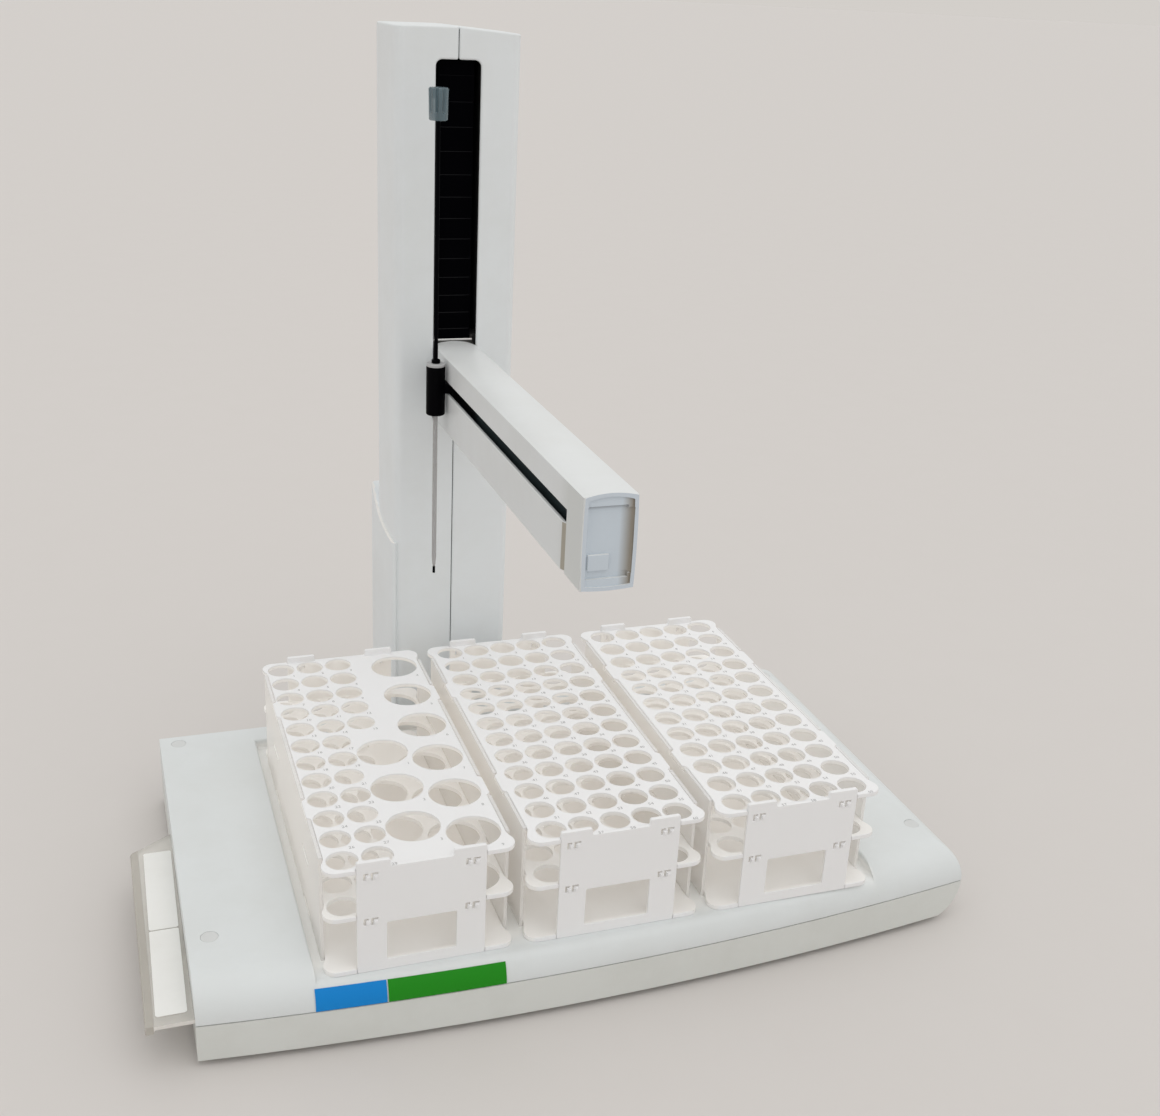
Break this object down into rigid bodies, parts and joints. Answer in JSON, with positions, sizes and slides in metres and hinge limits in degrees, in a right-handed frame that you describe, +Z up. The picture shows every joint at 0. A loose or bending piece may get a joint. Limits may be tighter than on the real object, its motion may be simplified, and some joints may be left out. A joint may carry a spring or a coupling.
{
  "type": "laboratory autosampler",
  "caption": "Three-axis bench autosampler: a sliding tower carries a lifting arm whose probe carriage reaches over lift-out tube racks on a low base with a side rinse pump.",
  "frame": {"origin": "on the bench, below the centre of the middle rack", "axes": "+X to the right as seen from the front, +Y to the rear, +Z up"},
  "size_m": [0.491, 0.377, 0.508],
  "materials": {
    "shell": "fine satin moulding",
    "shell_lower": "fine satin moulding",
    "rack_white": "satin sheet plastic",
    "foot_rubber": "matt",
    "plug_grey": "satin",
    "strip_blue": "printed film",
    "strip_green": "printed film",
    "clear_guard": "clear tinted plastic",
    "motor_grey": "satin",
    "track_plastic": "satin",
    "steel": "ground",
    "alloy": "satin",
    "belt_rubber": "matt",
    "board_green": "satin",
    "panel_grey": "satin",
    "black_plastic": "satin",
    "dark_band": "semi-gloss",
    "carriage_grey": "satin",
    "cap_grey": "satin",
    "clear_tube": "translucent tube",
    "probe_cap": "translucent"
  },
  "bodies": {
    "base": {"base_tray": "shell_lower", "deck_cover": "shell", "base_feet": "foot_rubber", "screw_plugs": "plug_grey", "badge_left": "strip_blue", "badge_right": "strip_green", "pump_guard": "clear_guard", "pump_motor": "motor_grey", "pump_track": "track_plastic", "x_rods": "steel", "x_motor": "motor_grey", "x_belt": "belt_rubber", "main_board": "board_green", "rear_panel": "panel_grey"},
    "switch": {"power_switch": "black_plastic"},
    "pump_wheel": {"pump_rotor": "steel", "pump_rollers": "track_plastic"},
    "x_drive": {"x_drive_pulley": "alloy"},
    "x_idler": {"x_idler_pulley": "alloy"},
    "tower": {"x_carriage": "alloy", "tower_spine": "alloy", "tower_shell_left": "shell", "tower_shell_right": "shell", "tower_boot": "shell", "slot_band": "dark_band", "z_rod": "steel", "z_motor": "motor_grey"},
    "lead_screw": {"z_screw": "steel"},
    "arm": {"z_carriage": "carriage_grey", "arm_shell": "shell", "arm_side_panel": "shell", "arm_end_cap": "cap_grey", "y_rail": "steel", "y_motor": "motor_grey", "y_belt": "belt_rubber", "arm_slot_band": "dark_band"},
    "y_drive": {"y_drive_pulley": "alloy"},
    "y_idler": {"y_idler_pulley": "alloy"},
    "probe_carriage": {"y_carriage": "black_plastic", "probe_holder": "black_plastic", "holder_washer": "plug_grey", "holder_collar": "black_plastic"},
    "probe": {"probe_rod": "black_plastic", "probe_tube": "clear_tube", "probe_tip": "black_plastic", "probe_cap": "probe_cap"},
    "rack_left": {"rack_left_top": "rack_white", "rack_left_shelves": "rack_white", "rack_left_ends": "rack_white", "rack_left_sides": "rack_white"},
    "rack_middle": {"rack_middle_top": "rack_white", "rack_middle_shelves": "rack_white", "rack_middle_ends": "rack_white", "rack_middle_sides": "rack_white"},
    "rack_right": {"rack_right_top": "rack_white", "rack_right_shelves": "rack_white", "rack_right_ends": "rack_white", "rack_right_sides": "rack_white"}
  },
  "joints": [
    {"name": "switch_rock", "type": "hinge", "parent": "base", "child": "switch", "pos_m": [-0.1889, 0.1375, 0.026], "axis": [1, 0, 0], "range_deg": [-6, 6]},
    {"name": "pump_spin", "type": "hinge", "parent": "base", "child": "pump_wheel", "pos_m": [-0.237, -0.04, 0.0165], "axis": [1, 0, 0], "continuous": true},
    {"name": "tower_travel", "type": "slide", "parent": "base", "child": "tower", "axis": [1, 0, 0], "range_m": [-0.102, 0.201]},
    {"name": "x_drive_spin", "type": "hinge", "parent": "base", "child": "x_drive", "pos_m": [-0.1984, 0.119, 0.033], "axis": [0, 0, 1], "continuous": true},
    {"name": "x_idler_spin", "type": "hinge", "parent": "base", "child": "x_idler", "pos_m": [0.2078, 0.119, 0.033], "axis": [0, 0, 1], "continuous": true},
    {"name": "arm_lift", "type": "slide", "parent": "tower", "child": "arm", "axis": [0, 0, 1], "range_m": [0, 0.155]},
    {"name": "screw_spin", "type": "hinge", "parent": "tower", "child": "lead_screw", "pos_m": [-0.0064, 0.178, 0.28], "axis": [0, 0, 1], "continuous": true},
    {"name": "probe_travel", "type": "slide", "parent": "arm", "child": "probe_carriage", "axis": [0, -1, 0], "range_m": [-0.006, 0.2285]},
    {"name": "y_drive_spin", "type": "hinge", "parent": "arm", "child": "y_drive", "pos_m": [-0.0339, 0.1255, 0.275], "axis": [1, 0, 0], "continuous": true},
    {"name": "y_idler_spin", "type": "hinge", "parent": "arm", "child": "y_idler", "pos_m": [-0.0339, -0.1365, 0.275], "axis": [1, 0, 0], "continuous": true},
    {"name": "probe_height", "type": "slide", "parent": "probe_carriage", "child": "probe", "axis": [0, 0, 1], "range_m": [-0.02, 0.02]},
    {"name": "rack_left_lift", "type": "slide", "parent": "base", "child": "rack_left", "axis": [0, 0, 1], "range_m": [0, 0.03]},
    {"name": "rack_middle_lift", "type": "slide", "parent": "base", "child": "rack_middle", "axis": [0, 0, 1], "range_m": [0, 0.03]},
    {"name": "rack_right_lift", "type": "slide", "parent": "base", "child": "rack_right", "axis": [0, 0, 1], "range_m": [0, 0.03]}
  ],
  "couplings": [
    {"joint": "x_drive_spin", "follows": "tower_travel", "rad_per_m": 131.58},
    {"joint": "x_idler_spin", "follows": "tower_travel", "rad_per_m": 131.58},
    {"joint": "screw_spin", "follows": "arm_lift", "rad_per_m": 314.16},
    {"joint": "y_drive_spin", "follows": "probe_travel", "rad_per_m": 178.57},
    {"joint": "y_idler_spin", "follows": "probe_travel", "rad_per_m": 178.57}
  ]
}
